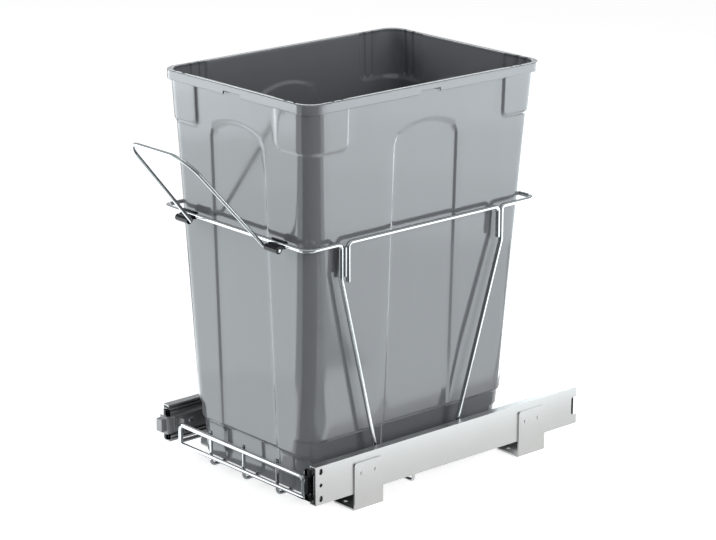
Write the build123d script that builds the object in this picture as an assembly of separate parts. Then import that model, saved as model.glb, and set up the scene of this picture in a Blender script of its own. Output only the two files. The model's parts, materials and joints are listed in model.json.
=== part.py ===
from build123d import *
import math
import os

# Pull-out waste unit for the floor of a kitchen cabinet: a tapered bin in a chrome wire
# frame, carried by a pair of full-extension ball-bearing slides on four floor brackets.
# Frame: +Z up, -Y is the front, +X is right seen from the front. The origin is the centre
# of the four floor brackets on the cabinet floor. All sizes are in millimetres.

# ---- Slides ----
slide_length = 406.0
slide_height = 45.0
slide_thickness = 12.7
slide_half_width = 138.0        # centre line to the outer face of a cabinet member
slide_bottom = 20.0             # gap below the slides, set by the brackets
slide_sheet = 1.2
travel = 400.0
race_gap = 3.2                  # height of each ball race between two flanges
race_reach = 9.8                # how far the cabinet member's flanges reach inward
web_gap = 1.4                   # between the webs of the cabinet and middle members
member_end_gap = 7.5            # middle and drawer members end short of the rear
drawer_lead = 0.8               # drawer member stands ahead of the other two
drawer_web_height = 17.2
lip_height = 1.3

# ---- Ball cages ----
cage_sheet = 0.6
cage_length = 190.0
ball_radius = 1.4
ball_play = 0.08                # between a ball and its pocket
balls_per_row = 5
cage_edge = 0.3                 # how far a cage reaches past its balls
ball_end_margin = 9.0

# ---- Floor brackets ----
bracket_sheet = 2.0
bracket_length = 42.0
bracket_height = 56.0
bracket_foot = 38.0
bracket_spacing = 254.0         # front to rear bracket centres
bracket_bend = 2.5
bracket_corner = 3.0
rivet_pitch = 20.6
rivet_radius = 1.6
rivet_head_radius = 2.4
rivet_head_height = 0.7
floor_screw_radius = 2.6
floor_screw_pitch = 24.0        # two screw holes in each bracket foot
floor_screw_setback = 24.0      # from the slide's outer face

# ---- Holes and stops of the cabinet member ----
front_hole_setback = 7.6
front_hole_radius = 2.2
front_slot_width = 5.0
front_slot_height = 7.2
front_slot_offset = 15.9
rear_notch_height = 22.0
rear_notch_depth = 8.5
rear_notch_corner = 3.0
rear_stop_depth = 6.6
rear_stop_height = 31.0         # its foot plate, which bridges the notch
rear_stop_plate = 1.8
rear_stop_boss_height = 18.0
rear_stop_reach = 10.6          # the boss stops the middle and drawer members

# ---- Wire frame ----
top_wire = 5.6
loop_wire = 4.6
floor_wire = 4.0
cross_wire = 4.0
hoop_wire = 5.0
weld_gap = 0.03                 # drawn between two wires that are welded together
frame_front = -198.5            # centre of the front top wire
frame_rear = 138.0              # centre of the rear run of the lower loop
top_wire_height = 45.2
top_wire_setback = 13.3         # its down-bends, from the drawer members
top_wire_bend = 6.0
loop_height = 21.0
loop_corner = 8.0
floor_wire_height = 9.2
floor_wire_pitch = 60.0
floor_wire_top = 50.0
floor_wire_rear_top = 28.0
floor_wire_bend = 6.0
cross_wire_places = (-45.0, 130.0)
cross_wire_top = 48.0
cross_wire_bend = 5.0

# ---- Hoops and side bars round the bin ----
hoop_height = 308.0
hoop_half_width = 126.5
hoop_front = -204.0
hoop_rear = 138.0
hoop_corner = 11.0
hoop_top_bend = 5.5
hoop_leg_bend = 14.0
front_leg_y = -156.0
rear_leg_y = 84.0
leg_straight = 40.0             # upright part of each leg below the hoop
front_foot_y = -104.0
rear_foot_y = 23.5
foot_bend_height = 66.0
foot_end_height = 30.0
front_stub_length = 44.0        # side bars' ends, down beside the legs
rear_stub_length = 36.0
junction_rod_top = 4.0          # below the hoop
junction_rod_length = 33.0

# ---- Frame plates, screws, end caps and catch ----
plate_sheet = 2.0
plate_height = 17.0
plate_length = 26.0
plate_bend = 2.5
plate_screw_pitch = 12.0
plate_screw_radius = 1.9
plate_screw_head_radius = 3.4
plate_screw_head_height = 1.6
plate_screw_tail = 2.6
cap_height = 36.4
cap_width = 9.0
cap_depth = 3.4
cap_overhang = 1.6              # past the inner face of the slide
catch_inset = 1.6               # from the slide's outer face
catch_width = 11.2
catch_height = 19.0
catch_depth = 7.8
catch_corner = 1.6

# ---- Handle and its clips ----
handle_wire = 4.2
handle_reach = 147.0            # hinge axis to the grip's centre line
handle_half_pivot = 64.0
handle_half_grip = 53.0
handle_corner = 21.0
handle_pivot_bend = 3.4
handle_rest_angle = 49.0        # above the horizontal, leaning forward
handle_tail = 27.0              # from the arm to the wire's end
hinge_forward = 8.6             # hinge axis ahead of the hoop wire
hinge_drop = 4.6                # hinge axis below the hoop wire
clip_length = 21.6
clip_start = 68.2
clip_wall = 1.9
clip_play = 0.06
clip_mouth = 3.8
clip_mouth_angle = 145.0        # up and forward, beside the bridge to the barrel
clip_bridge = 1.2               # its thickness, as a share of the barrel's radius

# ---- Bin ----
rim_half_width = 129.0
rim_front = -204.0
rim_back = 147.3
rim_top = 467.3
rim_corner = 20.0
skirt_height = 10.8
skirt_wall = 1.8
skirt_groove_top = 2.6          # thickness of the rim above the skirt's groove
skirt_notch_width = 30.0
skirt_notch_height = 4.0
bin_seat_gap = 0.3              # between the floor wires and the bin
bin_wall = 2.2
bin_floor = 2.8
body_inset = 5.0                # rim to body, just below the skirt
draft_side = 17.8               # further inset at the bottom
draft_front = 15.5
draft_back = 28.8
body_corner_top = 20.0
body_corner_bottom = 28.0
foot_step = 3.5
side_ledge = 77.0
front_ledge = 58.0
foot_round = 6.0
arch_depth = 2.2
arch_half_top = 46.0
arch_half_bottom = 49.0
arch_drop = 31.0                # skirt to the arch's crown
arch_rise = 13.0                # shoulder to crown
arch_round = 11.0
panel_relief = 2.2
panel_height = 46.0             # below the skirt
panel_from_centre = 69.0        # panel edge on the front and back faces
panel_along_side = 60.5         # panel length on the side faces
panel_round = 7.0
flute_setback = 14.0            # a shallower step inside each corner, nearer the corner
flute_depth = 0.7
rim_round = 1.2

# ---- Values worked out from the sizes above ----
slide_mid = slide_bottom + slide_height / 2
slide_front = -slide_length / 2
slide_rear = slide_length / 2
drawer_face = slide_half_width - slide_thickness
drawer_front = slide_front - drawer_lead
member_rear = slide_rear - member_end_gap
half_height = slide_height / 2
middle_web = slide_sheet + web_gap
middle_half_height = half_height - slide_sheet - race_gap
drawer_half_height = middle_half_height - slide_sheet - race_gap
middle_reach = race_reach - 0.4
drawer_flange_start = middle_web + slide_sheet + web_gap - 0.2
drawer_leg = drawer_flange_start + 3.4
outer_race = half_height - slide_sheet - race_gap / 2
inner_race = middle_half_height - slide_sheet - race_gap / 2
outer_cage_web = slide_sheet + web_gap / 2
inner_cage_web = middle_web + slide_sheet + (drawer_flange_start - middle_web - slide_sheet) / 2
outer_ball_place = outer_cage_web + 3.0
inner_ball_place = drawer_flange_start + 1.2
bracket_places = (-bracket_spacing / 2, bracket_spacing / 2)
floor_screw_half_width = slide_half_width - floor_screw_setback
top_wire_half_width = drawer_face - top_wire_setback

floor_wire_front = frame_front + (top_wire + floor_wire) / 2 + weld_gap
loop_front = floor_wire_front - (loop_wire + floor_wire) / 2 - weld_gap
floor_wire_rear = frame_rear - (loop_wire + floor_wire) / 2 - weld_gap
cross_half_width = drawer_face - cross_wire / 2 - weld_gap
loop_half_width = cross_half_width - (cross_wire + loop_wire) / 2 - weld_gap
cross_wire_height = floor_wire_height - (floor_wire + cross_wire) / 2 - weld_gap
foot_half_width = drawer_face - hoop_wire / 2 - weld_gap
wire_pitch = hoop_wire + weld_gap

hinge_y = hoop_front - hinge_forward
hinge_z = hoop_height - hinge_drop

bin_bottom = floor_wire_height + floor_wire / 2 + bin_seat_gap
body_top = rim_top - skirt_height
bin_centre = (rim_front + rim_back) / 2
arch_top = body_top - arch_drop
arch_shoulder = arch_top - arch_rise
panel_bottom = body_top - panel_height


def corner_arc(before, corner, after, radius):
    """Start, middle and end of the arc that rounds one corner of a bent wire."""
    into = (before - corner).normalized()
    out = (after - corner).normalized()
    half = math.radians(into.get_angle(out)) / 2
    centre = corner + (into + out).normalized() * (radius / math.sin(half))
    setback = radius / math.tan(half)
    middle = centre + (corner - centre).normalized() * radius
    return corner + into * setback, middle, corner + out * setback


def bent_wire(points, radii, diameter, closed=False):
    """A round wire bent through the points, with one bend radius for each corner."""
    route = [Vector(*p) for p in points]
    count = len(route)
    corners = range(count) if closed else range(1, count - 1)
    edges = []
    last = None if closed else route[0]
    first = None
    for index, radius in zip(corners, radii):
        start, middle, end = corner_arc(
            route[index - 1], route[index], route[(index + 1) % count], radius)
        if last is not None:
            edges.append(Edge.make_line(last, start))
        else:
            first = start
        edges.append(Edge.make_three_point_arc(start, middle, end))
        last = end
    edges.append(Edge.make_line(last, first if closed else route[-1]))
    path = Wire(edges)
    section = Plane(origin=path @ 0, z_dir=path % 0) * Circle(diameter / 2)
    return sweep(section, path=path)


def ribbon(points, thickness):
    """The outline of a folded sheet whose middle line runs through the points."""
    left, right = [], []
    for index, point in enumerate(points):
        here = Vector(*point)
        ahead = Vector(*points[min(index + 1, len(points) - 1)]) - here
        behind = here - Vector(*points[max(index - 1, 0)])
        first = (behind if behind.length > 0 else ahead).normalized()
        second = (ahead if ahead.length > 0 else behind).normalized()
        normal = Vector(-first.Y - second.Y, first.X + second.X).normalized()
        side = Vector(-first.Y, first.X)
        reach = thickness / 2 / normal.dot(side)
        left.append(here + normal * reach)
        right.append(here - normal * reach)
    return make_face(Polyline(*left, *reversed(right), close=True))


def along_slide(section, front, rear):
    """Run an X-Z section from the front to the rear."""
    plane = Plane(origin=(0, rear, 0), x_dir=(1, 0, 0), z_dir=(0, -1, 0))
    return extrude(plane * section, amount=rear - front)


def slide_sheet_part(points, thickness, front, rear):
    """A folded sheet of the right slide. Points are (inward, up) from its outer face's middle."""
    line = [(slide_half_width - inward, slide_mid + up) for inward, up in points]
    return along_slide(ribbon(line, thickness), front, rear)


def mirrored_ends(points):
    """Complete a half profile by mirroring it top to bottom."""
    return points + [(inward, -up) for inward, up in reversed(points)]


def x_cylinder(radius, start, end, y, z):
    """A cylinder along X between two places."""
    plane = Plane(origin=(start, y, z), x_dir=(0, 1, 0), z_dir=(1, 0, 0))
    return extrude(plane * Circle(radius), amount=end - start)


def x_slot(width, height, start, end, y, z):
    """An upright slot cutter along X."""
    plane = Plane(origin=(start, y, z), x_dir=(0, 0, 1), z_dir=(1, 0, 0))
    return extrude(plane * SlotOverall(height, width), amount=end - start)


def span_box(low, high):
    """A box between two opposite corners."""
    size = [b - a for a, b in zip(low, high)]
    centre = [(a + b) / 2 for a, b in zip(low, high)]
    return Pos(*centre) * Box(*size)


# ---- Right-hand slide ----
def make_cabinet_member():
    web = slide_sheet / 2
    flange = half_height - slide_sheet / 2
    lip = race_reach - slide_sheet / 2
    half = [(lip, half_height - slide_sheet - lip_height), (lip, flange), (web, flange)]
    body = slide_sheet_part(mirrored_ends(half), slide_sheet, slide_front, slide_rear)
    inside = slide_half_width - slide_sheet - 0.2
    outside = slide_half_width + 0.2
    hole_y = slide_front + front_hole_setback
    body -= x_cylinder(front_hole_radius, inside, outside, hole_y, slide_mid)
    for up in (front_slot_offset, -front_slot_offset):
        body -= x_slot(front_slot_width, front_slot_height, inside, outside, hole_y, slide_mid + up)
    notch = Pos(0, slide_rear, slide_mid) * Rot(0, 90, 0) * extrude(
        RectangleRounded(rear_notch_height, 2 * rear_notch_depth, rear_notch_corner),
        amount=outside - inside)
    body -= Pos(inside, 0, 0) * notch
    for bracket_y in bracket_places:
        for side in (-1, 1):
            y = bracket_y + side * rivet_pitch / 2
            body -= x_cylinder(rivet_radius, inside, outside, y, slide_mid)
    return body


def make_middle_member():
    web = middle_web + slide_sheet / 2
    flange = middle_half_height - slide_sheet / 2
    lip = middle_reach - slide_sheet / 2
    lip_end = middle_half_height - slide_sheet - lip_height
    half = [(lip, lip_end), (lip, flange), (web, flange)]
    return slide_sheet_part(mirrored_ends(half), slide_sheet, slide_front, member_rear)


def make_drawer_member():
    web = slide_thickness - slide_sheet / 2
    flange = drawer_half_height - slide_sheet / 2
    leg = drawer_leg - slide_sheet / 2
    half = [(drawer_flange_start, flange), (leg, flange), (leg, drawer_web_height / 2 + 1.4),
            (web, drawer_web_height / 2 - 0.6)]
    body = slide_sheet_part(mirrored_ends(half), slide_sheet, drawer_front, member_rear)
    for y in plate_screw_places():
        body -= x_cylinder(plate_screw_radius, drawer_face - 0.2, drawer_face + 2, y, slide_mid)
    return body


def ball_places():
    """Places of the balls along one row, from the middle of the cage."""
    step = (cage_length - 2 * ball_end_margin) / (balls_per_row - 1)
    return [-cage_length / 2 + ball_end_margin + step * n for n in range(balls_per_row)]


def make_cage(web, race, ball_place):
    arm_end = ball_place + ball_radius + cage_edge
    half = [(arm_end, race), (web, race)]
    cage = slide_sheet_part(mirrored_ends(half), cage_sheet, -cage_length / 2, cage_length / 2)
    for y in ball_places():
        drill = Cylinder(ball_radius + ball_play, slide_height)
        cage -= Pos(slide_half_width - ball_place, y, slide_mid) * drill
    return cage


def make_balls(race, ball_place):
    x = slide_half_width - ball_place
    return Compound([Pos(x, y, slide_mid + up) * Sphere(ball_radius)
                     for y in ball_places() for up in (race, -race)])


def make_rear_stop():
    seat = slide_half_width - slide_sheet
    front = slide_rear - rear_stop_depth
    plate = span_box((seat - rear_stop_plate, front, slide_mid - rear_stop_height / 2),
                     (seat, slide_rear, slide_mid + rear_stop_height / 2))
    boss = span_box((seat - rear_stop_reach, front, slide_mid - rear_stop_boss_height / 2),
                    (seat, slide_rear, slide_mid + rear_stop_boss_height / 2))
    plate = chamfer(plate.edges().filter_by(Axis.X), 1.0)
    return plate + chamfer(boss.edges().group_by(Axis.X)[0], 0.8)


# ---- Right-hand brackets and rivets ----
def make_bracket(centre_y):
    plate = slide_half_width + bracket_sheet / 2
    foot_end = slide_half_width + bracket_sheet - bracket_foot
    line = [(plate, bracket_height), (plate, bracket_sheet / 2), (foot_end, bracket_sheet / 2)]
    front = centre_y - bracket_length / 2
    rear = centre_y + bracket_length / 2
    body = along_slide(ribbon(line, bracket_sheet), front, rear)
    heel = body.edges().filter_by(Axis.Y).sort_by(lambda e: e.center().X - e.center().Z)[-1]
    body = fillet(heel, bracket_bend)
    body = fillet(body.edges().filter_by(Axis.X).group_by(Axis.Z)[-1], bracket_corner)
    toe = body.edges().filter_by(Axis.Z).sort_by(Axis.X)[:2]
    body = fillet(toe, bracket_corner)
    for side in (-1, 1):
        y = centre_y + side * rivet_pitch / 2
        body -= x_cylinder(rivet_radius, slide_half_width - 1, plate + bracket_sheet, y, slide_mid)
        hole = Cylinder(floor_screw_radius, 3 * bracket_sheet)
        body -= Pos(floor_screw_half_width, centre_y + side * floor_screw_pitch / 2) * hole
    return body


def make_rivet(y):
    outer = slide_half_width + bracket_sheet
    shank = x_cylinder(rivet_radius, slide_half_width - slide_sheet, outer, y, slide_mid)
    head = x_cylinder(rivet_head_radius, outer, outer + rivet_head_height, y, slide_mid)
    head = chamfer(head.edges().sort_by(Axis.X)[-1], rivet_head_height * 0.6)
    return shank + head


def make_rivets():
    right = [make_rivet(bracket_y + side * rivet_pitch / 2)
             for bracket_y in bracket_places for side in (-1, 1)]
    return Compound(right + [mirror(r, about=Plane.YZ) for r in right])


# ---- Right-hand fittings of the drawer member ----
def plate_front():
    return frame_front + top_wire / 2 + weld_gap


def plate_screw_places():
    middle = plate_front() + plate_length / 2 + plate_sheet
    return [middle - plate_screw_pitch / 2, middle + plate_screw_pitch / 2]


def make_frame_plate():
    """An angle plate: one leg on the drawer member, one behind the top wire's end."""
    along = drawer_face - plate_sheet / 2
    across = plate_front() + plate_sheet / 2
    reach = top_wire_half_width - top_wire / 2
    outline = ribbon([(reach, across), (along, across), (along, across + plate_length)], plate_sheet)
    body = Pos(0, 0, slide_mid - plate_height / 2) * extrude(outline, amount=plate_height)
    outer = body.edges().filter_by(Axis.Z).sort_by(lambda e: e.center().X - e.center().Y)[-1]
    body = fillet(outer, plate_bend)
    for y in plate_screw_places():
        body -= x_cylinder(plate_screw_radius, drawer_face - 2 * plate_sheet, drawer_face, y, slide_mid)
    return body


def make_plate_screw(y):
    seat = drawer_face - plate_sheet
    shank = x_cylinder(plate_screw_radius, seat, drawer_face + slide_sheet + plate_screw_tail, y, slide_mid)
    head = x_cylinder(plate_screw_head_radius, seat - plate_screw_head_height, seat, y, slide_mid)
    head = chamfer(head.edges().sort_by(Axis.X)[0], plate_screw_head_height * 0.5)
    recess = Pos(seat - plate_screw_head_height, y, slide_mid) * Box(1.8, 3.2, 0.9)
    cross = Pos(seat - plate_screw_head_height, y, slide_mid) * Box(1.8, 0.9, 3.2)
    return shank + head - recess - cross


def make_plate_screws():
    right = [make_plate_screw(y) for y in plate_screw_places()]
    return Compound(right + [mirror(s, about=Plane.YZ) for s in right])


def make_end_cap():
    inner = drawer_face - cap_overhang
    low = (inner, drawer_front - cap_depth, slide_mid - cap_height / 2)
    high = (inner + cap_width, drawer_front, slide_mid + cap_height / 2)
    block = span_box(low, high)
    return fillet(block.edges().filter_by(Axis.Y), 1.4)


def make_catch():
    """The tab that stands ahead of the left slide, drawn on the right and mirrored."""
    back = drawer_front - cap_depth
    outer = slide_half_width - catch_inset
    low = (outer - catch_width, back - catch_depth, slide_mid - catch_height / 2)
    high = (outer, back, slide_mid + catch_height / 2)
    block = span_box(low, high)
    return fillet(block.edges().filter_by(Axis.Y).sort_by(Axis.X)[2:], catch_corner)


# ---- Wire frame ----
def make_top_wire():
    end = loop_height + loop_wire / 2 + weld_gap
    half = top_wire_half_width
    route = [(half, frame_front, end), (half, frame_front, top_wire_height),
             (-half, frame_front, top_wire_height), (-half, frame_front, end)]
    return bent_wire(route, [top_wire_bend] * 2, top_wire)


def make_lower_loop():
    half = loop_half_width
    route = [(half, loop_front, loop_height), (half, frame_rear, loop_height),
             (-half, frame_rear, loop_height), (-half, loop_front, loop_height)]
    return bent_wire(route, [loop_corner] * 4, loop_wire, closed=True)


def make_floor_wire(x):
    route = [(x, floor_wire_front, floor_wire_top), (x, floor_wire_front, floor_wire_height),
             (x, floor_wire_rear, floor_wire_height), (x, floor_wire_rear, floor_wire_rear_top)]
    return bent_wire(route, [floor_wire_bend] * 2, floor_wire)


def make_cross_wire(y):
    half = cross_half_width
    route = [(half, y, cross_wire_top), (half, y, cross_wire_height),
             (-half, y, cross_wire_height), (-half, y, cross_wire_top)]
    return bent_wire(route, [cross_wire_bend] * 2, cross_wire)


def make_hoop(end_y, leg_y, foot_y):
    """A hoop round the front or the back of the bin, with a leg to each drawer member."""
    knee = hoop_height - leg_straight
    right = [(foot_half_width, foot_y, foot_end_height), (foot_half_width, foot_y, foot_bend_height),
             (hoop_half_width, leg_y, knee), (hoop_half_width, leg_y, hoop_height),
             (hoop_half_width, end_y, hoop_height)]
    left = [(-x, y, z) for x, y, z in reversed(right)]
    half = [hoop_leg_bend, hoop_leg_bend, hoop_top_bend, hoop_corner]
    return bent_wire(right + left, half + half[::-1], hoop_wire)


def make_side_bar():
    front = front_leg_y + 2 * wire_pitch
    rear = rear_leg_y - wire_pitch
    half = hoop_half_width
    route = [(half, front, hoop_height - front_stub_length), (half, front, hoop_height),
             (half, rear, hoop_height), (half, rear, hoop_height - rear_stub_length)]
    return bent_wire(route, [hoop_top_bend] * 2, hoop_wire)


def make_junction_rod():
    top = hoop_height - junction_rod_top
    rod = Cylinder(hoop_wire / 2, junction_rod_length)
    middle = top - junction_rod_length / 2
    return Pos(hoop_half_width, front_leg_y + wire_pitch, middle) * rod


# ---- Handle and clips ----
def make_handle():
    """A wire bail. It is drawn lying forward and turned up to its rest angle."""
    tail = handle_half_pivot + handle_tail
    route = [(-tail, 0, 0), (-handle_half_pivot, 0, 0), (-handle_half_grip, -handle_reach, 0),
             (handle_half_grip, -handle_reach, 0), (handle_half_pivot, 0, 0), (tail, 0, 0)]
    radii = [handle_pivot_bend, handle_corner, handle_corner, handle_pivot_bend]
    bail = bent_wire(route, radii, handle_wire)
    return Pos(0, hinge_y, hinge_z) * Rot(-handle_rest_angle, 0, 0) * bail


def make_clip():
    """A snap clip: a hook on the hoop wire and a barrel for the handle's end, on the right."""
    hoop = Pos(hoop_front, hoop_height)
    hinge = Pos(hinge_y, hinge_z)
    hook_radius = hoop_wire / 2 + clip_wall
    barrel_radius = handle_wire / 2 + clip_wall
    away = Vector(hinge_y - hoop_front, hinge_z - hoop_height)
    angle = math.degrees(math.atan2(away.Y, away.X))
    bridge = hoop * Rot(0, 0, angle) * Pos(away.length / 2, 0) * Rectangle(away.length, barrel_radius * clip_bridge)
    mouth = hoop * Rot(0, 0, clip_mouth_angle) * Pos(hook_radius, 0) * Rectangle(
        2 * hook_radius, clip_mouth)
    section = hoop * Circle(hook_radius) + hinge * Circle(barrel_radius) + bridge
    section -= hoop * Circle(hoop_wire / 2 + clip_play)
    section -= hinge * Circle(handle_wire / 2 + clip_play)
    section -= mouth
    plane = Plane(origin=(clip_start, 0, 0), x_dir=(0, 1, 0), z_dir=(1, 0, 0))
    return extrude(plane * section, amount=clip_length)


# ---- Bin ----
def footprint(z, shrink, step_x=0.0, step_y=0.0):
    """The body's outline at one height, drawn in by its taper, a wall or a step."""
    low = (body_top - z) / (body_top - bin_bottom)
    half = rim_half_width - body_inset - draft_side * low - shrink - step_x
    front = rim_front + body_inset + draft_front * low + shrink + step_y
    back = rim_back - body_inset - draft_back * low - shrink - step_y
    corner = body_corner_top + (body_corner_bottom - body_corner_top) * low - shrink
    outline = RectangleRounded(2 * half, back - front, corner)
    return Pos(0, (front + back) / 2, z) * outline


def body_loft(bottom, top, shrink=0.0, step_x=0.0, step_y=0.0):
    ends = [footprint(bottom, shrink, step_x, step_y), footprint(top, shrink, step_x, step_y)]
    return loft(ends, ruled=True)


def stepped_body(shrink, floor, top, lift):
    """The tapered body with its two ledges, the sides' ledge above the front's."""
    upper = body_loft(side_ledge + lift, top, shrink)
    middle = body_loft(front_ledge + lift, side_ledge + lift, shrink, step_x=foot_step)
    lower = body_loft(floor, front_ledge + lift, shrink, step_x=foot_step, step_y=foot_step)
    return upper, middle, lower


def arch_outline(grow, bottom):
    """A tall arch that widens slightly towards its open foot."""
    top_half = arch_half_top + grow
    low_half = arch_half_bottom + grow
    shoulder = arch_shoulder + grow
    sides = Polyline((-top_half, shoulder), (-low_half, bottom), (low_half, bottom), (top_half, shoulder))
    crown = ThreePointArc((-top_half, shoulder), (0, arch_top + grow), (top_half, shoulder))
    face = make_face(sides + crown)
    return fillet(face.vertices().sort_by(Axis.Y)[-2:], arch_round)


def arch_skin(shrink, grow):
    """The skin of the body under the arches of all four faces."""
    across = rim_back - rim_front
    wide = 2 * rim_half_width
    facing_y = Plane(origin=(0, rim_back, 0), x_dir=(1, 0, 0), z_dir=(0, -1, 0))
    facing_x = Plane(origin=(-rim_half_width, bin_centre, 0), x_dir=(0, 1, 0), z_dir=(1, 0, 0))
    prisms = extrude(facing_y * arch_outline(grow, front_ledge), amount=across)
    prisms += extrude(facing_x * arch_outline(grow, side_ledge), amount=wide)
    return prisms - body_loft(front_ledge - 1, rim_top, shrink + arch_depth)


def panel_mask(bottom, narrow):
    """The four corner columns that the raised panels lie in."""
    top = rim_top + 1
    edge_x = panel_from_centre + narrow
    edge_y = (rim_back - rim_front) / 2 - panel_along_side + narrow
    reach = 2 * (rim_back - rim_front)
    columns = []
    for edge, plane in ((edge_x, Plane(origin=(0, bin_centre, 0), x_dir=(1, 0, 0), z_dir=(0, -1, 0))),
                        (edge_y, Plane(origin=(0, bin_centre, 0), x_dir=(0, 1, 0), z_dir=(1, 0, 0)))):
        far = Pos((edge + reach) / 2, (bottom + top) / 2) * Rectangle(reach - edge, top - bottom)
        far = fillet(far.vertices().group_by(Axis.Y)[0].sort_by(Axis.X)[0], panel_round)
        both = far + mirror(far, about=Plane.YZ)
        columns.append(extrude(plane * both, amount=reach, both=True))
    return columns[0] & columns[1]


def make_bin():
    upper, middle, lower = stepped_body(0.0, bin_bottom, rim_top, 0.0)
    lower = fillet(lower.edges().group_by(Axis.Z)[0], foot_round)
    outside = upper + middle + lower
    outside += body_loft(panel_bottom, body_top, -panel_relief) & panel_mask(panel_bottom, 0.0)
    outside -= arch_skin(0.0, 0.0)

    band = Pos(0, bin_centre, body_top) * extrude(
        RectangleRounded(2 * rim_half_width, rim_back - rim_front, rim_corner), amount=skirt_height)
    band = fillet(band.edges().group_by(Axis.Z)[-1], rim_round)
    groove_height = skirt_height - skirt_groove_top
    groove = Pos(0, bin_centre, body_top) * extrude(
        RectangleRounded(2 * (rim_half_width - skirt_wall), rim_back - rim_front - 2 * skirt_wall,
                         rim_corner - skirt_wall), amount=groove_height)
    for size in ((skirt_notch_width, 2 * rim_back - 2 * rim_front), (4 * rim_half_width, skirt_notch_width)):
        band -= Pos(0, bin_centre, body_top) * Box(*size, 2 * skirt_notch_height)
    shell = outside + (band - groove)

    cavity = sum(stepped_body(bin_wall, bin_bottom + bin_floor, rim_top + 1, bin_wall), Part())
    panel_floor = panel_bottom + bin_wall
    for deeper, narrower in ((0.0, 0.0), (flute_depth, flute_setback)):
        hollow = body_loft(panel_floor, rim_top + 1, bin_wall - panel_relief - deeper)
        cavity += hollow & panel_mask(panel_floor, bin_wall + narrower)
    cavity -= arch_skin(bin_wall, bin_wall)
    return shell - cavity


def on_both_sides(name, right):
    """A right-hand piece and its mirror image on the left."""
    return {name + "_right": right, name + "_left": mirror(right, about=Plane.YZ)}


parts = {"bin": make_bin(), "handle": make_handle()}
parts |= on_both_sides("cabinet_member", make_cabinet_member())
parts |= on_both_sides("middle_member", make_middle_member())
parts |= on_both_sides("drawer_member", make_drawer_member())
parts |= on_both_sides("outer_ball_cage", make_cage(outer_cage_web, outer_race, outer_ball_place))
parts |= on_both_sides("outer_balls", make_balls(outer_race, outer_ball_place))
parts |= on_both_sides("inner_ball_cage", make_cage(inner_cage_web, inner_race, inner_ball_place))
parts |= on_both_sides("inner_balls", make_balls(inner_race, inner_ball_place))
parts |= on_both_sides("rear_stop", make_rear_stop())
parts |= on_both_sides("bracket_front", make_bracket(bracket_places[0]))
parts |= on_both_sides("bracket_rear", make_bracket(bracket_places[1]))
parts["bracket_rivets"] = make_rivets()
parts |= on_both_sides("drawer_end_cap", make_end_cap())
parts["front_catch_left"] = mirror(make_catch(), about=Plane.YZ)
parts |= on_both_sides("frame_plate", make_frame_plate())
parts["frame_plate_screws"] = make_plate_screws()
parts["front_top_wire"] = make_top_wire()
parts["lower_loop"] = make_lower_loop()
for place, x in (("left", -floor_wire_pitch), ("middle", 0.0), ("right", floor_wire_pitch)):
    parts["floor_wire_" + place] = make_floor_wire(x)
for place, y in zip(("middle", "rear"), cross_wire_places):
    parts["cross_wire_" + place] = make_cross_wire(y)
parts["front_hoop"] = make_hoop(hoop_front, front_leg_y, front_foot_y)
parts["rear_hoop"] = make_hoop(hoop_rear, rear_leg_y, rear_foot_y)
parts |= on_both_sides("side_bar", make_side_bar())
parts |= on_both_sides("junction_rod", make_junction_rod())
parts |= on_both_sides("handle_clip", make_clip())

os.makedirs("parts", exist_ok=True)
for name, shape in parts.items():
    export_step(shape, os.path.join("parts", name + ".step"))
    print(name, len(shape.solids()))
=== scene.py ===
import json
import math
from itertools import product

import bpy
import numpy as np
from mathutils import Matrix, Quaternion, Vector


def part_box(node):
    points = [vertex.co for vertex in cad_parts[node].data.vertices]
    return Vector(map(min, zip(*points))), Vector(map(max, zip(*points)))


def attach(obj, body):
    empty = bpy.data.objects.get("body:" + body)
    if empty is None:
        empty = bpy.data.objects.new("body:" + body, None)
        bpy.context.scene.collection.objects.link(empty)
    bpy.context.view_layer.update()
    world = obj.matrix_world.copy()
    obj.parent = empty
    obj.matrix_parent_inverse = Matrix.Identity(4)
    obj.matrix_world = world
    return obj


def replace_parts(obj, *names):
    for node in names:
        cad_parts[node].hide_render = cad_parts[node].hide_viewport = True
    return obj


# A pull-out waste unit: a grey moulded bin in a chrome wire frame, on ball-bearing slides.
# The CAD solids are dressed as they are, apart from the bin, the handle and the small plastic
# mouldings, which are made again here with softer forms.
# Pieces are drawn in millimetres, times MM for Blender's metres. Materials, lights and screens
# are in metres. +Z is up, -Y is the front and +X is right seen from the front.
MM = 0.001
SIDES = (("left", -1), ("right", 1))
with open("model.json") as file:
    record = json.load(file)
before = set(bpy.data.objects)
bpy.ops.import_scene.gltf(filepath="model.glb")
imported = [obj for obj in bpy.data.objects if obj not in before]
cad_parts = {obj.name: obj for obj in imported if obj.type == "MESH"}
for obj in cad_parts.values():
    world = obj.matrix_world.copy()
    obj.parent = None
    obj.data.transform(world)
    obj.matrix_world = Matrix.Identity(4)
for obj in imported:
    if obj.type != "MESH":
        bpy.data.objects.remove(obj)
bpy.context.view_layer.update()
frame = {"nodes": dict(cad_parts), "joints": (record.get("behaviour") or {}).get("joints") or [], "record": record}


# ---------------------------------------------------------------- materials
NOISE_SPAN = (0.3, 0.7)     # where most values of a noise texture lie


def shader_input(material, socket):
    return material.node_tree.nodes["Principled BSDF"].inputs[socket]


def new_material(name, color, roughness, metallic=0.0, **sockets):
    """A material with one Principled shader. Further sockets are named with _ for a space."""
    material = bpy.data.materials.new(name)
    material.use_nodes = True
    shader_input(material, "Base Color").default_value = (*color, 1)
    shader_input(material, "Roughness").default_value = roughness
    shader_input(material, "Metallic").default_value = metallic
    for socket, value in sockets.items():
        shader_input(material, socket.replace("_", " ")).default_value = value
    return material


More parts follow.
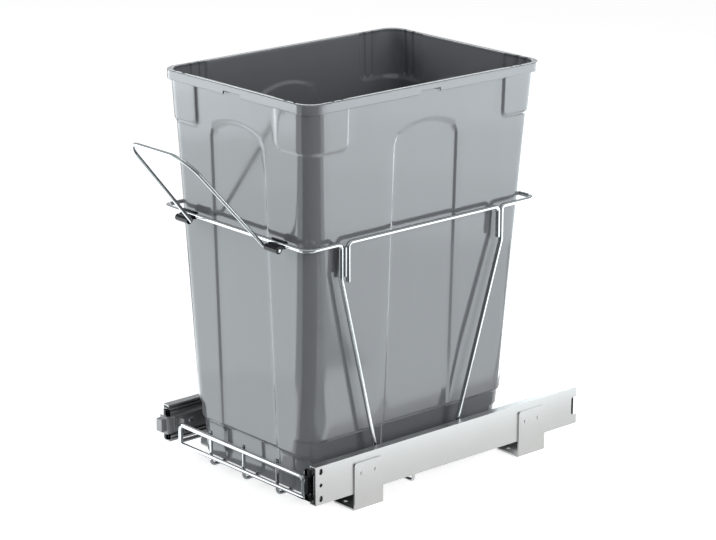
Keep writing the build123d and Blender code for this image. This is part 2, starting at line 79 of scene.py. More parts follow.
def noise(material, scale, stretch=(1, 1, 1), detail=3.0):
    """Noise over the object's own coordinates. scale is in waves per metre."""
    tree = material.node_tree
    place = tree.nodes.new("ShaderNodeTexCoord")
    mapping = tree.nodes.new("ShaderNodeMapping")
    texture = tree.nodes.new("ShaderNodeTexNoise")
    mapping.inputs["Scale"].default_value = stretch
    texture.inputs["Scale"].default_value = scale
    texture.inputs["Detail"].default_value = detail
    tree.links.new(place.outputs["Object"], mapping.inputs["Vector"])
    tree.links.new(mapping.outputs["Vector"], texture.inputs["Vector"])
    return texture.outputs["Fac"]


def remap(material, value, low, high):
    """Spread a noise value over a range."""
    node = material.node_tree.nodes.new("ShaderNodeMapRange")
    node.inputs["From Min"].default_value, node.inputs["From Max"].default_value = NOISE_SPAN
    node.inputs["To Min"].default_value = low
    node.inputs["To Max"].default_value = high
    material.node_tree.links.new(value, node.inputs["Value"])
    return node.outputs["Result"]


def vary_color(material, value, spread):
    """Let a noise value move each channel of the colour up and down by the spread."""
    tree = material.node_tree
    socket = shader_input(material, "Base Color")
    red, green, blue, alpha = socket.default_value
    mix = tree.nodes.new("ShaderNodeMix")
    mix.data_type = "RGBA"
    mix.inputs["A"].default_value = (red - spread, green - spread, blue - spread, alpha)
    mix.inputs["B"].default_value = (red + spread, green + spread, blue + spread, alpha)
    tree.links.new(remap(material, value, 0, 1), mix.inputs["Factor"])
    tree.links.new(mix.outputs["Result"], socket)


def vary_roughness(material, value, spread):
    """Let a noise value move the roughness up and down by the spread."""
    socket = shader_input(material, "Roughness")
    middle = socket.default_value
    material.node_tree.links.new(remap(material, value, middle - spread, middle + spread), socket)


def add_bump(material, value, depth):
    """Bump from a noise value. depth is in metres."""
    tree = material.node_tree
    bump = tree.nodes.new("ShaderNodeBump")
    bump.inputs["Distance"].default_value = depth
    tree.links.new(value, bump.inputs["Height"])
    tree.links.new(bump.outputs["Normal"], shader_input(material, "Normal"))


def bin_plastic():
    """Semi-gloss moulded plastic, with a fine orange peel and faint upright flow marks."""
    material = new_material("bin_plastic", (0.19, 0.20, 0.215), roughness=0.115, IOR=1.75)
    vary_color(material, noise(material, 22, stretch=(1, 1, 0.12), detail=4), 0.004)
    vary_roughness(material, noise(material, 60, detail=5), 0.015)
    add_bump(material, noise(material, 500, detail=1), 0.012 * MM)
    return material


def chrome_wire():
    """Bright plated wire, with a little waviness and haze."""
    material = new_material("chrome_wire", (0.53, 0.54, 0.545), roughness=0.09, metallic=1)
    vary_roughness(material, noise(material, 260, detail=4), 0.04)
    add_bump(material, noise(material, 90, detail=2), 0.03 * MM)
    return material


def zinc_steel():
    """Zinc-plated strip, clouded, with fine rolling lines along the slide."""
    material = new_material("zinc_steel", (0.4625, 0.4625, 0.4545), roughness=0.335, metallic=1)
    lines = noise(material, 700, stretch=(1, 0.02, 1), detail=2)
    vary_color(material, noise(material, 30, detail=4), 0.0075)
    vary_roughness(material, lines, 0.015)
    add_bump(material, lines, 0.0006 * MM)
    return material


def ball_steel():
    """Polished balls."""
    material = new_material("ball_steel", (0.80, 0.81, 0.82), roughness=0.10, metallic=1)
    vary_roughness(material, noise(material, 900), 0.04)
    return material


def screw_steel():
    """Dull dark steel."""
    material = new_material("screw_steel", (0.30, 0.30, 0.31), roughness=0.275, metallic=1)
    vary_roughness(material, noise(material, 800), 0.075)
    add_bump(material, noise(material, 1500), 0.02 * MM)
    return material


def black_plastic():
    """Glossy black moulding with a fine grain."""
    material = new_material("black_plastic", (0.008, 0.008, 0.009), roughness=0.195, IOR=1.33)
    vary_roughness(material, noise(material, 300), 0.045)
    add_bump(material, noise(material, 1500, detail=2), 0.015 * MM)
    return material


def catch_plastic():
    """Glossy grey moulding with a fine grain."""
    material = new_material("catch_plastic", (0.24, 0.245, 0.25), roughness=0.20, IOR=1.9)
    vary_roughness(material, noise(material, 300), 0.04)
    add_bump(material, noise(material, 1500, detail=2), 0.015 * MM)
    return material


materials = {make.__name__: make() for make in (
    bin_plastic, chrome_wire, zinc_steel, ball_steel, screw_steel, black_plastic, catch_plastic)}


def dress_cad_nodes():
    """Give every CAD node the material of its slot."""
    slots = {part["node"]: part["material_slot"] for part in frame["record"]["subparts"]}
    for name, node in frame["nodes"].items():
        node.data.materials.clear()
        node.data.materials.append(materials[slots[name]])


# ---------------------------------------------------------------- making pieces
def box_of(node):
    """The low and high corners of a CAD node, in millimetres."""
    return [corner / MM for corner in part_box(node)]


def new_piece(name, vertices, faces, slot, body):
    """A smooth mesh from points in millimetres, with the slot's material, riding on a body."""
    mesh = bpy.data.meshes.new(name)
    mesh.from_pydata([tuple(vertex) for vertex in np.asarray(vertices) * MM], [], faces)
    mesh.update()
    mesh.shade_smooth()
    piece = bpy.data.objects.new(name, mesh)
    bpy.context.scene.collection.objects.link(piece)
    mesh.materials.append(materials[slot])
    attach(piece, body)
    return piece


def tube_faces(rows, count, turned=False):
    """Faces between closed rows of points, and one flat face over each end. Turned faces point
    the other way."""
    faces = []
    for low in range(0, (rows - 1) * count, count):
        for step in range(count):
            beside = (step + 1) % count
            faces.append((low + step, low + beside, low + count + beside, low + count + step))
    faces.append(tuple(range(count))[::-1])
    faces.append(tuple(range((rows - 1) * count, rows * count)))
    if turned:
        faces = [(face[0], *face[:0:-1]) for face in faces]
    return faces


# ---------------------------------------------------------------- the handle
HANDLE_WIRE = 4.2
HANDLE_REACH = 147.0        # hinge axis to the grip
HANDLE_PIVOT_HALF = 64.0
HANDLE_GRIP_HALF = 53.0
HANDLE_TAIL = 27.0          # from each arm to the wire's end
HANDLE_FOOT_BEND = 3.4
HANDLE_GRIP_BEND = 28.0
HANDLE_LEAN = math.radians(49)   # above the horizontal, to the front
WIRE_SIDES = 28
WIRE_END_ROUND = 0.5
BEND_STEP = 4.0             # degrees between the rings round a bend
BEND_LEAST = 6              # steps in the smallest bend


def bent_path(points, radii):
    """Points along straight runs that are joined by round bends."""
    route = [Vector(point) for point in points]
    path = [route[0]]
    for before, corner, after, radius in zip(route, route[1:], route[2:], radii):
        into = (before - corner).normalized()
        out = (after - corner).normalized()
        half = into.angle(out) / 2
        centre = corner + (into + out).normalized() * (radius / math.sin(half))
        spoke = corner + into * (radius / math.tan(half)) - centre
        turn = math.pi - 2 * half
        count = max(BEND_LEAST, math.ceil(math.degrees(turn) / BEND_STEP))
        axis = out.cross(into)
        path += [centre + Quaternion(axis, turn * step / count) @ spoke for step in range(count + 1)]
    return path + [route[-1]]


def wire_rows(path, radius):
    """Centre and radius of each ring along a wire, with its two cut ends rounded off."""
    def rounded_end(end, inward):
        return [(end + inward * (WIRE_END_ROUND * (1 - math.sin(angle))),
                 radius - WIRE_END_ROUND * (1 - math.cos(angle)))
                for angle in np.radians((90, 60, 30, 0))]

    first = rounded_end(path[0], (path[1] - path[0]).normalized())
    last = rounded_end(path[-1], (path[-2] - path[-1]).normalized())
    return first + [(point, radius) for point in path[1:-1]] + last[::-1]


def bent_wire(name, path, diameter, body):
    """A round chrome wire along a path. Its rings turn as little as they can from one to the next."""
    rows = wire_rows(path, diameter / 2)
    centres = [centre for centre, _ in rows]
    heading = (path[1] - path[0]).normalized()
    across = heading.orthogonal().normalized()
    vertices = []
    for index, (centre, radius) in enumerate(rows):
        ahead = centres[min(index + 1, len(rows) - 1)] - centres[max(index - 1, 0)]
        across.rotate(heading.rotation_difference(ahead))
        heading = ahead
        beside = ahead.normalized().cross(across)
        for step in range(WIRE_SIDES):
            angle = 2 * math.pi * step / WIRE_SIDES
            vertices.append(centre + (across * math.cos(angle) + beside * math.sin(angle)) * radius)
    return new_piece(name, vertices, tube_faces(len(rows), WIRE_SIDES), "chrome_wire", body)


def make_handle():
    """The wire bail, with the wide bends of its grip. It turns in the clips on the front hoop."""
    hinge = next(joint for joint in frame["joints"] if joint["name"] == "handle_hinge")
    place = Vector(hinge["pos_m"]) / MM
    tail = HANDLE_PIVOT_HALF + HANDLE_TAIL
    flat = [(-tail, 0), (-HANDLE_PIVOT_HALF, 0), (-HANDLE_GRIP_HALF, HANDLE_REACH),
            (HANDLE_GRIP_HALF, HANDLE_REACH), (HANDLE_PIVOT_HALF, 0), (tail, 0)]
    out = Vector((0, -math.cos(HANDLE_LEAN), math.sin(HANDLE_LEAN)))
    route = [place + Vector((x, 0, 0)) + out * reach for x, reach in flat]
    path = bent_path(route, (HANDLE_FOOT_BEND, HANDLE_GRIP_BEND, HANDLE_GRIP_BEND, HANDLE_FOOT_BEND))
    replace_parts(bent_wire("handle_wire", path, HANDLE_WIRE, "handle"), "handle")


# ---------------------------------------------------------------- small mouldings on the slides
BLOCK_FACES = ((0, 1, 3, 2), (4, 6, 7, 5), (0, 4, 5, 1), (2, 3, 7, 6), (0, 2, 6, 4), (1, 5, 7, 3))


def blocks(name, boxes, soft, slot, body):
    """A moulding of rectangular blocks with softly rounded edges. A block is given by two
    opposite corners, in any order."""
    vertices, faces = [], []
    for corners in boxes:
        faces += [tuple(len(vertices) + corner for corner in face) for face in BLOCK_FACES]
        vertices += product(*(sorted(places) for places in zip(*corners)))
    piece = new_piece(name, vertices, faces, slot, body)
    bevel = piece.modifiers.new("soft_edges", "BEVEL")
    bevel.width = soft * MM
    bevel.segments = 3
    bevel.harden_normals = True
    return piece


CATCH_NOSE = 1.8            # the nose stands in from the solid's top and bottom
CATCH_BROW = 1.2            # the flange stands past them, and past the nose's inner side
CATCH_FLANGE = 2.4
CATCH_SKIRT = 8.0           # back along the inner side of the end cap
CATCH_SKIRT_WALL = 1.1
CATCH_CAP_GAP = 0.2         # between the skirt and the end cap
CATCH_FACE_GAP = 0.1        # between the flange and the end cap
CATCH_LAPS = (0.4, 0.5)     # how far the nose and the skirt run into the flange
CATCH_SOFT = 0.45


def make_catch():
    """A stepped moulding on the front of the left slide: a nose, a flange and a side skirt."""
    low, high = box_of("front_catch_left")
    _, cap_high = box_of("drawer_end_cap_left")
    seam = high.y - CATCH_FLANGE
    back = high.y - CATCH_FACE_GAP
    inner = cap_high.x + CATCH_CAP_GAP
    outer = inner + CATCH_SKIRT_WALL
    bottom, top = low.z - CATCH_BROW, high.z + CATCH_BROW
    nose_lap, skirt_lap = CATCH_LAPS
    nose = ((low.x, low.y, low.z + CATCH_NOSE),
            (high.x - CATCH_BROW, seam + nose_lap, high.z - CATCH_NOSE))
    flange = ((low.x, seam, bottom), (outer, back, top))
    skirt = ((inner, back - skirt_lap, bottom), (outer, high.y + CATCH_SKIRT, top))
    moulding = blocks("catch_moulding", (nose, flange, skirt), CATCH_SOFT, "catch_plastic", "carriage")
    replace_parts(moulding, "front_catch_left")


STOP_THICKNESS = 2.8        # along the slide
STOP_PLATE = 1.8
STOP_BOSS_HALF = 9.0
STOP_SOFT = 0.4


def make_rear_stops():
    """A plate behind the notch at each slide's rear end, with a boss that stops the members."""
    for side, sign in SIDES:
        low, high = box_of("rear_stop_" + side)
        middle = (low.z + high.z) / 2
        outer = low.x if side == "left" else high.x
        back = low.y + STOP_THICKNESS
        plate = ((outer, low.y, low.z), (outer - sign * STOP_PLATE, back, high.z))
        boss = ((low.x, low.y, middle - STOP_BOSS_HALF), (high.x, back, middle + STOP_BOSS_HALF))
        stop = blocks("rear_stop_moulding_" + side, (plate, boss), STOP_SOFT, "black_plastic", "base")
        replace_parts(stop, "rear_stop_" + side)


CAP_WIDTH = 5.6             # across the front of the drawer member
CAP_HOOK = 7.5              # height of the hooks over the member's lips
CAP_SOFT = 0.5


def make_end_caps():
    """A narrow cap on each drawer member's front end, with a hook round the upper and lower lip."""
    for side, sign in SIDES:
        low, high = box_of("drawer_end_cap_" + side)
        inner, outer = (high.x, low.x) if side == "left" else (low.x, high.x)
        web = ((inner, low.y, low.z), (inner + sign * CAP_WIDTH, high.y, high.z))
        lower_hook = ((inner, low.y, low.z), (outer, high.y, low.z + CAP_HOOK))
        upper_hook = ((inner, low.y, high.z - CAP_HOOK), (outer, high.y, high.z))
        boxes = (web, lower_hook, upper_hook)
        cap = blocks("end_cap_" + side, boxes, CAP_SOFT, "black_plastic", "carriage")
        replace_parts(cap, "drawer_end_cap_" + side)


# ---------------------------------------------------------------- the bin
BIN_LOW, BIN_HIGH = box_of("bin")
BIN_MIDDLE = (BIN_LOW.y + BIN_HIGH.y) / 2
BIN_WALL = 2.2
BIN_FLOOR = 2.8
DRAFT = {"side": 17.8, "front": 15.5, "back": 28.8}   # how far a wall comes in, skirt to bottom
BODY_RADII = (20.0, 28.0)   # of the upright corners, at the skirt and at the bottom
CORNER_STEPS = 16
FACES = ("front", "side", "front", "side")   # kinds of the four faces: front, right, back, left
FOOT_RADIUS = 6.0           # bottom edge, outside
FOOT_LEVEL = 4.0            # from the foot's rounding to the underside's one large face
FOOT_TOP = 14.5             # lowest row above the foot's rounding
FLOOR_RADIUS = 5.0          # bottom edge, inside
EDGE_SOFT = 4.2             # width over which a relief edge rises
EDGE_COLUMNS = 7            # columns of points across a relief edge

# The rim is rolled over and hangs down in a skirt, with a notch in the middle of each side.
RIM_INSET = 5.0             # rim to body under the skirt
RIM_RADIUS = 20.0
RIM_TURN = 0.36             # how fast the corner radius falls further in
RIM_ROUND = 0.6             # outer top edge
LIP_ROUND = 1.2             # inner top edge
LIP_LEVEL = 3.0             # from the inside to the row in the rim's flat top
LIP_SHARE = 0.6             # share of the inner reliefs that is left on the inner top edge
SKIRT_BOTTOM = BIN_HIGH.z - 10.8
SKIRT_WALL = 1.8
SKIRT_EDGE = ((0, 0.5), (0.15, 0.15), (0.5, 0))   # round its lower edge: across and up
SKIRT_ROOF = BIN_HIGH.z - 2.6   # top of the gap behind the skirt
SKIRT_ROOF_ROUND = (0.3, 0.4)   # across and down
NOTCH_HALF = 15.0
NOTCH_RISE = 4.0
NOTCH_SOFT = 1.2
NOTCH_FADE = 5.0            # height over which the rows level out above the notch
NOTCH_TOPS = (7.5, 5.0)     # where they are level, outside and inside

# A ledge runs round the body low down, one height on the front and back, another on the sides.
LEDGES = {"side": 77.0, "front": 58.0}
LEDGE_STEP = 3.5
LEDGE_SOFT = 2.6

# Each face has a shallow arched recess.
ARCH_HALVES = (46.0, 49.0)  # half width at the shoulder and at the foot
ARCH_TOP = SKIRT_BOTTOM - 31.0
ARCH_SHOULDER = ARCH_TOP - 13.0
ARCH_DEPTH = 1.8
ARCH_ROUND = 9.0

# A raised panel wraps round each corner under the skirt. On its inside, two upright grooves run
# down each of its faces.
PANEL_STARTS = {"front": 69.0, "side": (BIN_HIGH.y - BIN_LOW.y) / 2 - 60.5}   # from a face's middle
PANEL_LATEST = 0.93         # share of the way to the corner where a panel starts at the latest
PANEL_BOTTOM = SKIRT_BOTTOM - 46.0
PANEL_RELIEF = 2.2
PANEL_RADIUS = 7.0
PAST_PANEL = np.array([1000.0])   # a place along the face that is on every panel
GROOVE_PLACES = {"front": (0.56, 0.94), "side": (0.26, 0.60)}   # shares of the way, panel to corner
GROOVE_DEPTH = 1.8
GROOVE_WIDTH = 3.0
GROOVE_SOFT = 1.4
GROOVE_LIFT = 3.0           # above the panel's lower edge


def ramp(x):
    """0 to 1 with soft ends, rising through 0.5 at x = 0 over one unit."""
    t = np.clip(x + 0.5, 0, 1)
    return t * t * (3 - 2 * t)


def rounded_and(a, b, radius):
    """Signed distance to the overlap of two areas, with its corner rounded."""
    outside = np.sqrt(np.maximum(a + radius, 0) ** 2 + np.maximum(b + radius, 0) ** 2)
    inside = np.minimum(np.maximum(a + radius, b + radius), 0)
    return outside + inside - radius


def arch_half(z):
    """Half the width of the arched recess at one height."""
    low, high = LEDGES["front"], ARCH_SHOULDER
    part = np.clip((high - z) / (high - low), 0, 1)
    return ARCH_HALVES[0] + (ARCH_HALVES[1] - ARCH_HALVES[0]) * part


def arch(u, z):
    """1 inside the arched recess and 0 outside it."""
    rise = ARCH_TOP - ARCH_SHOULDER
    radius = (ARCH_HALVES[0] ** 2 + rise ** 2) / (2 * rise)
    crown = np.hypot(u, np.maximum(z - (ARCH_TOP - radius), 0)) - radius
    side = np.abs(u) - arch_half(z)
    return ramp(-rounded_and(side, crown, ARCH_ROUND) / EDGE_SOFT)


def panel(u, z, start):
    """1 on the raised corner panels and 0 off them."""
    return ramp(-rounded_and(start - np.abs(u), PANEL_BOTTOM - z, PANEL_RADIUS) / EDGE_SOFT)


def panel_start(end, kind):
    """Where the columns for a panel's edge lie along a face whose corner starts at end."""
    return min(PANEL_STARTS[kind], PANEL_LATEST * end)


def groove_places(end, kind):
    """Where the two grooves inside each corner panel lie along a face."""
    start = panel_start(end, kind)
    return [start + share * (end - start) for share in GROOVE_PLACES[kind]]


def outer_relief(u, z, kind, ends):
    """How far a face stands out at places u along it: outward on the panels, inward in the arch."""
    return PANEL_RELIEF * panel(u, z, PANEL_STARTS[kind]) - ARCH_DEPTH * arch(u, z)


def inner_relief(u, z, kind, ends):
    """The panels and arches seen from inside, with two upright grooves in each panel."""
    grooves = np.zeros_like(u)
    for side, end in zip((-1, 1), ends):
        for place in groove_places(end, kind):
            grooves += ramp((GROOVE_WIDTH / 2 - np.abs(side * u - place)) / GROOVE_SOFT)
    grown = ramp((z - PANEL_BOTTOM - GROOVE_LIFT) / EDGE_SOFT)
    return outer_relief(u, z, kind, ends) + GROOVE_DEPTH * grooves * grown


def lip_relief(u, z, kind, ends):
    """The inner reliefs where they run out over the inner top edge."""
    return LIP_SHARE * inner_relief(u, z, kind, ends)


def drawn_in(outline, inset, turn=1.0):
    """An outline drawn in, with its corner radius less by turn times as much. An outline is half
    the width, the front, the back and the corner radius."""
    half, front, back, radius = outline
    return half - inset, front + inset, back - inset, radius - inset * turn


def body_row(z, wall=0.0):
    """The outline of the body at one height. With a wall it is the inside, with higher ledges."""
    low = (SKIRT_BOTTOM - z) / (SKIRT_BOTTOM - BIN_LOW.z)
    step_x = LEDGE_STEP * ramp((LEDGES["side"] + wall - z) / LEDGE_SOFT)
    step_y = LEDGE_STEP * ramp((LEDGES["front"] + wall - z) / LEDGE_SOFT)
    outline = (BIN_HIGH.x - RIM_INSET - DRAFT["side"] * low - step_x,
               BIN_LOW.y + RIM_INSET + DRAFT["front"] * low + step_y,
               BIN_HIGH.y - RIM_INSET - DRAFT["back"] * low - step_y,
               BODY_RADII[0] + (BODY_RADII[1] - BODY_RADII[0]) * low)
    return drawn_in(outline, wall)


def rim_row(inset):
    """The outline of the rim, drawn in from its outer face."""
    return drawn_in((BIN_HIGH.x, BIN_LOW.y, BIN_HIGH.y, RIM_RADIUS), inset, RIM_TURN)


def between(start, end, count):
    """Evenly spaced places between two others."""
    return np.linspace(start, end, count + 2)[1:-1]


def half_columns(end, z, kind):
    """Places of the columns from a face's middle to its corner, close together at each edge."""
    spread = np.linspace(-1, 1, EDGE_COLUMNS)
    reach = EDGE_SOFT / 2
    near = spread * reach
    groove = spread * (GROOVE_WIDTH + GROOVE_SOFT) / 2
    edge = arch_half(z)
    start = panel_start(end, kind)
    first, second = groove_places(end, kind)
    # Near a corner the columns of an edge or a groove draw closer, so that none cross.
    narrow = min(1.0, (end - second) / 2 / reach, (first - start) / 3 / reach)
    runs = [[0], between(0, NOTCH_HALF - reach, 3), NOTCH_HALF + near / 2,
            [NOTCH_HALF + reach], between(NOTCH_HALF + reach, edge - reach, 4), edge + near,
            between(edge + reach, start - reach * narrow, 4), start + near * narrow,
            between(start, first, 3), first + groove * narrow,
            between(first, second, 3), second + groove * narrow, [end]]
    return np.sort(np.concatenate(runs))


def ring(outline, z, relief=None, notch=0.0):
    """One closed row of points round the bin at height z: along each face, then round its corner.
    relief gives how far a face stands out, and notch how far its middle is lifted."""
    half, front, back, radius = outline
    across, ahead, behind = half - radius, BIN_MIDDLE - front - radius, back - radius - BIN_MIDDLE
    sides = (((0, front), (across, across)), ((half, BIN_MIDDLE), (ahead, behind)),
             ((0, back), (across, across)), ((-half, BIN_MIDDLE), (behind, ahead)))
    points = []
    for index, (origin, ends) in enumerate(sides):
        kind = FACES[index]
        turn = index * math.pi / 2
        along = np.array([math.cos(turn), math.sin(turn)])
        out = np.array([math.sin(turn), -math.cos(turn)])
        before, after = (half_columns(end, z, kind) for end in ends)
        u = np.concatenate([-before[::-1], after[1:]])
        raised = relief(u, z, kind, ends) if relief else np.zeros_like(u)
        face = np.array(origin) + np.outer(u, along) + np.outer(raised, out)
        height = z + notch * ramp((NOTCH_HALF - np.abs(u)) / NOTCH_SOFT)
        points.append(np.column_stack([face, height]))
        centre = np.array(origin) + along * ends[1] - out * radius
        angles = between(0, math.pi / 2, CORNER_STEPS - 1)
        bulge = relief(PAST_PANEL, z, kind, ends)[0] if relief else 0.0
        spokes = np.outer(np.cos(angles), out) + np.outer(np.sin(angles), along)
        corner = centre + spokes * (radius + bulge)
        points.append(np.column_stack([corner, np.full(len(angles), z)]))
    return np.concatenate(points)


def quarter(radius, count):
    """(across, along) offsets of a quarter round, from along its first face to its second."""
    angles = np.linspace(0, math.pi / 2, count)
    return [(radius * (1 - math.cos(a)), radius * (1 - math.sin(a))) for a in angles]


def spaced(stops, last):
    """Heights from (start, step) pairs, each down to the next start, and then the last height."""
    heights = []
    ends = [start for start, _ in stops[1:]] + [last]
    for (start, step), end in zip(stops, ends):
        heights += list(np.linspace(start, end, round((start - end) / step), endpoint=False))
    return heights + [last]


def inner_rows(heights):
    """Rows from the floor's rounded edge up the inside to the rim's flat top."""
    floor = BIN_LOW.z + BIN_FLOOR
    rows = [ring(drawn_in(body_row(floor + up, BIN_WALL), across), floor + up)
            for across, up in reversed(quarter(FLOOR_RADIUS, 6))]
    rows += [ring(body_row(z, BIN_WALL), z, inner_relief)
             for z in reversed(heights) if z > floor + FLOOR_RADIUS + 1]
    inside = BIN_HIGH.x - body_row(BIN_HIGH.z, BIN_WALL)[0]
    rows += [ring(rim_row(inside - across), BIN_HIGH.z - down, lip_relief)
             for across, down in quarter(LIP_ROUND, 5)[1:]]
    return rows + [ring(rim_row(inside - LIP_LEVEL), BIN_HIGH.z)]


def rim_rows():
    """Rows over the rim's outer edge, down its skirt, round the skirt's lower edge and up inside."""
    def notched(inset, up, level):
        rise = NOTCH_RISE * min(1, max(0, (level - up) / NOTCH_FADE))
        return ring(rim_row(inset), SKIRT_BOTTOM + up, notch=rise)

    outside, inside = NOTCH_TOPS
    roof = SKIRT_ROOF - SKIRT_BOTTOM - SKIRT_ROOF_ROUND[1]
    rows = [ring(rim_row(across), BIN_HIGH.z - down) for across, down in reversed(quarter(RIM_ROUND, 5))]
    rows += [notched(0, up, outside) for up in (outside, 6, 4, 2.5, 1.2)]
    rows += [notched(across, up, outside) for across, up in SKIRT_EDGE]
    rows += [notched(SKIRT_WALL - across, up, outside) for across, up in reversed(SKIRT_EDGE)]
    rows += [notched(SKIRT_WALL, up, inside) for up in (2.5, inside, roof)]
    return rows + [ring(rim_row(SKIRT_WALL + SKIRT_ROOF_ROUND[0]), SKIRT_ROOF)]


def outer_rows(heights):
    """Rows from behind the skirt down the outside, round the foot and a little way under it."""
    bottom = BIN_LOW.z
    top = drawn_in(body_row(SKIRT_ROOF), -SKIRT_ROOF_ROUND[0], turn=0)
    rows = [ring(top, SKIRT_ROOF, outer_relief)]
    rows += [ring(body_row(z), z, outer_relief)
             for z in heights if bottom + FOOT_RADIUS < z < SKIRT_ROOF - SKIRT_ROOF_ROUND[0]]
    rows += [ring(drawn_in(body_row(bottom + up), across), bottom + up)
             for across, up in quarter(FOOT_RADIUS, 8)]
    return rows + [ring(drawn_in(body_row(bottom), FOOT_RADIUS + FOOT_LEVEL), bottom)]


def make_bin():
    """The bin as one skin, from its floor up the inside, over the rim and down to its underside."""
    side, front = LEDGES["side"], LEDGES["front"]
    fine, finer = 1.5, 1.2      # at the edges of the arches and panels, and at the ledges
    # Each stop is a height and the spacing of the rows below it.
    stops = ((BIN_HIGH.z - LIP_ROUND, 3), (ARCH_TOP + 8, fine), (PANEL_BOTTOM - 12, 15),
             (side + 7, finer), (side - 3, 4), (front + 6, finer), (front - 3, 6))
    heights = spaced(stops, BIN_LOW.z + FOOT_TOP)
    rows = inner_rows(heights) + rim_rows() + outer_rows(heights)
    faces = tube_faces(len(rows), len(rows[0]), turned=True)
    shell = new_piece("bin_shell", np.concatenate(rows), faces, "bin_plastic", "bin")
    for end_face in shell.data.polygons[-2:]:
        end_face.use_smooth = False
    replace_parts(shell, "bin")


# ---------------------------------------------------------------- camera, lights and floor
AZIMUTH = math.radians(49.0)
ELEVATION = math.radians(16.87)
CAMERA_PLACE = (2.1840, -1.9202, 1.1009)
CAMERA_LENS = 131.5
SENSOR_WIDTH = 36
TARGET = Vector((0, -0.03, 0.22))
AMBIENT = 0.22              # the world's light, while reflections see it white
FLOOR_REACH = 12.0
FLOOR_GAP = 0.0004          # under the feet
FLOOR_GLOW = 0.70
SCREEN_STEPS = 24           # flat strips in a curved screen
SCREEN_TINT = (0.93, 1.0, 1.03)
CARD_HEIGHT = 0.002         # cards lie just above the floor


def make_camera():
    camera = bpy.data.objects.new("camera", bpy.data.cameras.new("camera"))
    camera.data.lens = CAMERA_LENS
    camera.data.sensor_width = SENSOR_WIDTH
    right = Vector((math.cos(AZIMUTH), math.sin(AZIMUTH), 0))
    back = Vector((math.sin(AZIMUTH) * math.cos(ELEVATION),
                   -math.cos(AZIMUTH) * math.cos(ELEVATION), math.sin(ELEVATION)))
    pose = Matrix((right, back.cross(right), back)).transposed().to_4x4()
    pose.translation = CAMERA_PLACE
    camera.matrix_world = pose
    bpy.context.scene.collection.objects.link(camera)
    bpy.context.scene.camera = camera


def white_to_view(tree):
    """1 for rays that the camera, a glossy surface or glass sends out, and 0 for the rest."""
    path = tree.nodes.new("ShaderNodeLightPath")
    total = path.outputs["Is Camera Ray"]
    for ray in ("Is Glossy Ray", "Is Transmission Ray"):
        larger = tree.nodes.new("ShaderNodeMath")
        larger.operation = "MAXIMUM"
        tree.links.new(total, larger.inputs[0])
        tree.links.new(path.outputs[ray], larger.inputs[1])
        total = larger.outputs[0]
    return total


def make_world():
    """A white background that lights the object only softly."""
    world = bpy.data.worlds.new("studio")
    world.use_nodes = True
    bpy.context.scene.world = world
    tree = world.node_tree
    background = tree.nodes["Background"]
    background.inputs["Color"].default_value = (1, 1, 1, 1)
    strength = tree.nodes.new("ShaderNodeMapRange")
    strength.inputs["To Min"].default_value = AMBIENT
    strength.inputs["To Max"].default_value = 1.0
    tree.links.new(white_to_view(tree), strength.inputs["Value"])
    tree.links.new(strength.outputs["Result"], background.inputs["Strength"])


def make_floor():
    """A pale floor. It glows a little for the camera, so that it is white but keeps a shadow."""
    mesh = bpy.data.meshes.new("floor")
    corners = [(x * FLOOR_REACH, y * FLOOR_REACH, 0) for x, y in ((-1, -1), (1, -1), (1, 1), (-1, 1))]
    mesh.from_pydata(corners, [], [(0, 1, 2, 3)])
    floor = bpy.data.objects.new("floor", mesh)
    floor.location.z = -FLOOR_GAP
    bpy.context.scene.collection.objects.link(floor)
    material = new_material("floor", (0.86, 0.86, 0.86), roughness=0.9,
                            Specular_IOR_Level=0.0, Emission_Color=(1, 1, 1, 1))
    tree = material.node_tree
    strength = tree.nodes.new("ShaderNodeMath")
    strength.operation = "MULTIPLY"
    strength.inputs[1].default_value = FLOOR_GLOW
    tree.links.new(white_to_view(tree), strength.inputs[0])
    tree.links.new(strength.outputs[0], shader_input(material, "Emission Strength"))
    mesh.materials.append(material)


def make_softbox(name, place, size, power):
    """A rectangular area lamp that faces the object."""
    lamp = bpy.data.lights.new(name, "AREA")
    lamp.shape = "RECTANGLE"
    lamp.size, lamp.size_y = size
    lamp.energy = power
    softbox = bpy.data.objects.new(name, lamp)
    softbox.location = place
    softbox.rotation_euler = (TARGET - Vector(place)).to_track_quat("-Z", "Y").to_euler()
    bpy.context.scene.collection.objects.link(softbox)


def make_strip(name, points, brightness):
    """A strip that only shows in reflections, from pairs of points along its two edges. With
    brightness 0 it is black."""
    faces = [(first, first + 1, first + 3, first + 2) for first in range(0, len(points) - 2, 2)]
    mesh = bpy.data.meshes.new(name)
    mesh.from_pydata(points, [], faces)
    strip = bpy.data.objects.new(name, mesh)
    material = new_material(name, (0.02, 0.02, 0.02), roughness=1, Specular_IOR_Level=0.0,
                            Emission_Color=(*SCREEN_TINT, 1), Emission_Strength=brightness)
    mesh.materials.append(material)
    strip.visible_camera = False
    strip.visible_diffuse = False
    strip.visible_shadow = False
    bpy.context.scene.collection.objects.link(strip)


def make_arc(name, start, end, near, far, brightness):
    """A strip curved round the object between two compass angles, which count from the front to
    the right. Each of its edges has a distance and a height."""
    points = []
    for step in range(SCREEN_STEPS + 1):
        angle = math.radians(start + (end - start) * step / SCREEN_STEPS)
        for distance, height in (near, far):
            points.append((distance * math.sin(angle), TARGET.y - distance * math.cos(angle), height))
    make_strip(name, points, brightness)


def make_screen(name, start, end, distance, low, high, brightness):
    """An upright curved screen."""
    make_arc(name, start, end, (distance, low), (distance, high), brightness)


def make_card(name, start, end, near, far, brightness, height=CARD_HEIGHT):
    """A curved card that lies on the floor."""
    make_arc(name, start, end, (near, height), (far, height), brightness)


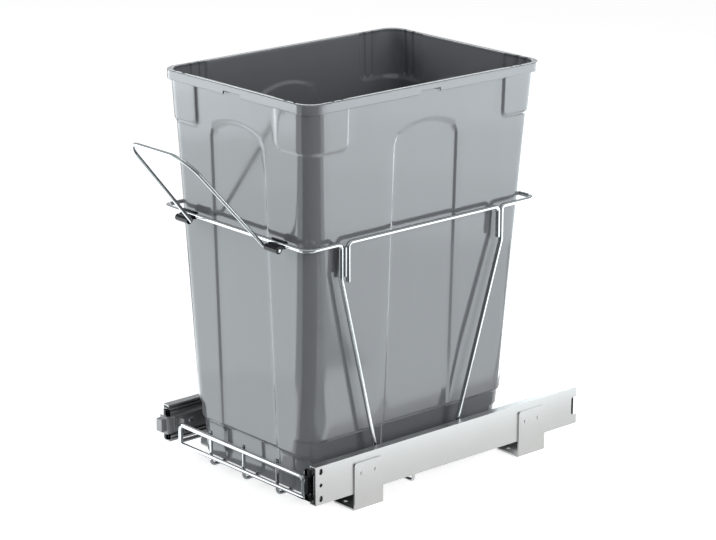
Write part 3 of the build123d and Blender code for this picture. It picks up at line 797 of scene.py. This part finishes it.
def light_faces():
    """The bin's front face mirrors what stands on the left, and its right face the right. Both
    are brighter further up."""
    for low, high, left, right in ((0.0, 0.10, 2.6, 3.0), (0.10, 0.18, 2.8, 3.3),
                                   (0.18, 0.25, 3.7, 3.8), (0.25, 0.42, 4.5, 4.3)):
        make_screen("screen_left", -80, -8, 0.9, low, high, left)
        make_screen("screen_right", 106, 170, 0.9, low, high, right)
    make_card("card_left", -80, -8, 0.45, 0.9, 2.65)
    make_card("card_left_near", -80, -8, 0.2, 0.45, 2.4)
    near, far = 0.265, 0.9
    make_strip("card_right", [(near, -0.3, CARD_HEIGHT), (far, -0.3, CARD_HEIGHT),
                              (near, 0.5, CARD_HEIGHT), (far, 0.9, CARD_HEIGHT)], 2.45)


def light_rear_edge():
    """The rear right corner mirrors the back, with a bright line in it."""
    make_screen("screen_rear", 160, 215, 0.88, 0.0, 0.42, 3.4)
    make_card("card_rear", 160, 205, 0.5, 0.88, 3.0, height=0.003)
    make_screen("edge_light", 166, 187, 0.87, 0.0, 0.42, 6.5)
    make_card("edge_card", 163, 187, 0.36, 0.87, 5.5, height=0.004)


def darken_near_corner():
    """The corner towards the camera mirrors a dark field with grey edges."""
    make_screen("flag_near", 5, 95, 0.85, 0.0, 1.4, 0.12)
    make_card("card_near", 5, 95, 0.42, 0.85, 0.3)
    for start, end in ((-26, 5), (95, 114)):
        make_screen("flag_edge", start, end, 0.86, 0.0, 1.4, 1.1)
        make_card("card_edge", start, end, 0.42, 0.86, 1.1, height=0.004)
    make_card("card_near_low", 2, 46, 0.17, 0.3, 0.35)
    make_card("card_near_low", 2, 84, 0.3, 0.42, 0.35)


def darken_under_slide():
    """A black strip along the inner side of the right brackets, close to the floor. It shows only in reflections,
    where it paints shade into the brackets' feet.
    """
    x, half, low, high = 0.1, 0.25, 0.001, 0.018
    make_strip("flag_low", [(x, y, z) for y in (-half, half) for z in (low, high)], 0)


def dim_surroundings():
    """The rest is dim: behind the object, which level tops mirror, under it and over it. A bright
    band behind it lights the rim."""
    make_screen("rim_light", -175, -95, 0.9, 0.70, 0.80, 3.0)
    make_arc("flag_high", -175, -95, (0.9, 0.80), (0.5, 1.6), 0.45)
    make_screen("flag_behind", -175, -95, 0.9, 0.0, 0.55, 0.35)
    make_card("card_behind", -175, -83, 0.27, 0.9, 0.35)
    make_card("card_under", -180, 35, 0.02, 0.2, 0.4)
    make_arc("flag_over", -100, 200, (0.85, 0.45), (0.3, 1.3), 0.55)


# ---------------------------------------------------------------- build
dress_cad_nodes()
make_bin()
make_handle()
make_catch()
make_rear_stops()
make_end_caps()
make_camera()
make_world()
make_floor()
make_softbox("key_left", (-1.9, -2.0, 1.3), (1.6, 1.6), 34)
make_softbox("fill_right", (2.6, 0.4, 1.2), (1.4, 1.6), 32)
make_softbox("top", (0.2, 0.6, 2.6), (1.6, 1.6), 9)
light_faces()
light_rear_edge()
darken_near_corner()
darken_under_slide()
dim_surroundings()
bpy.context.scene.view_settings.view_transform = "Standard"
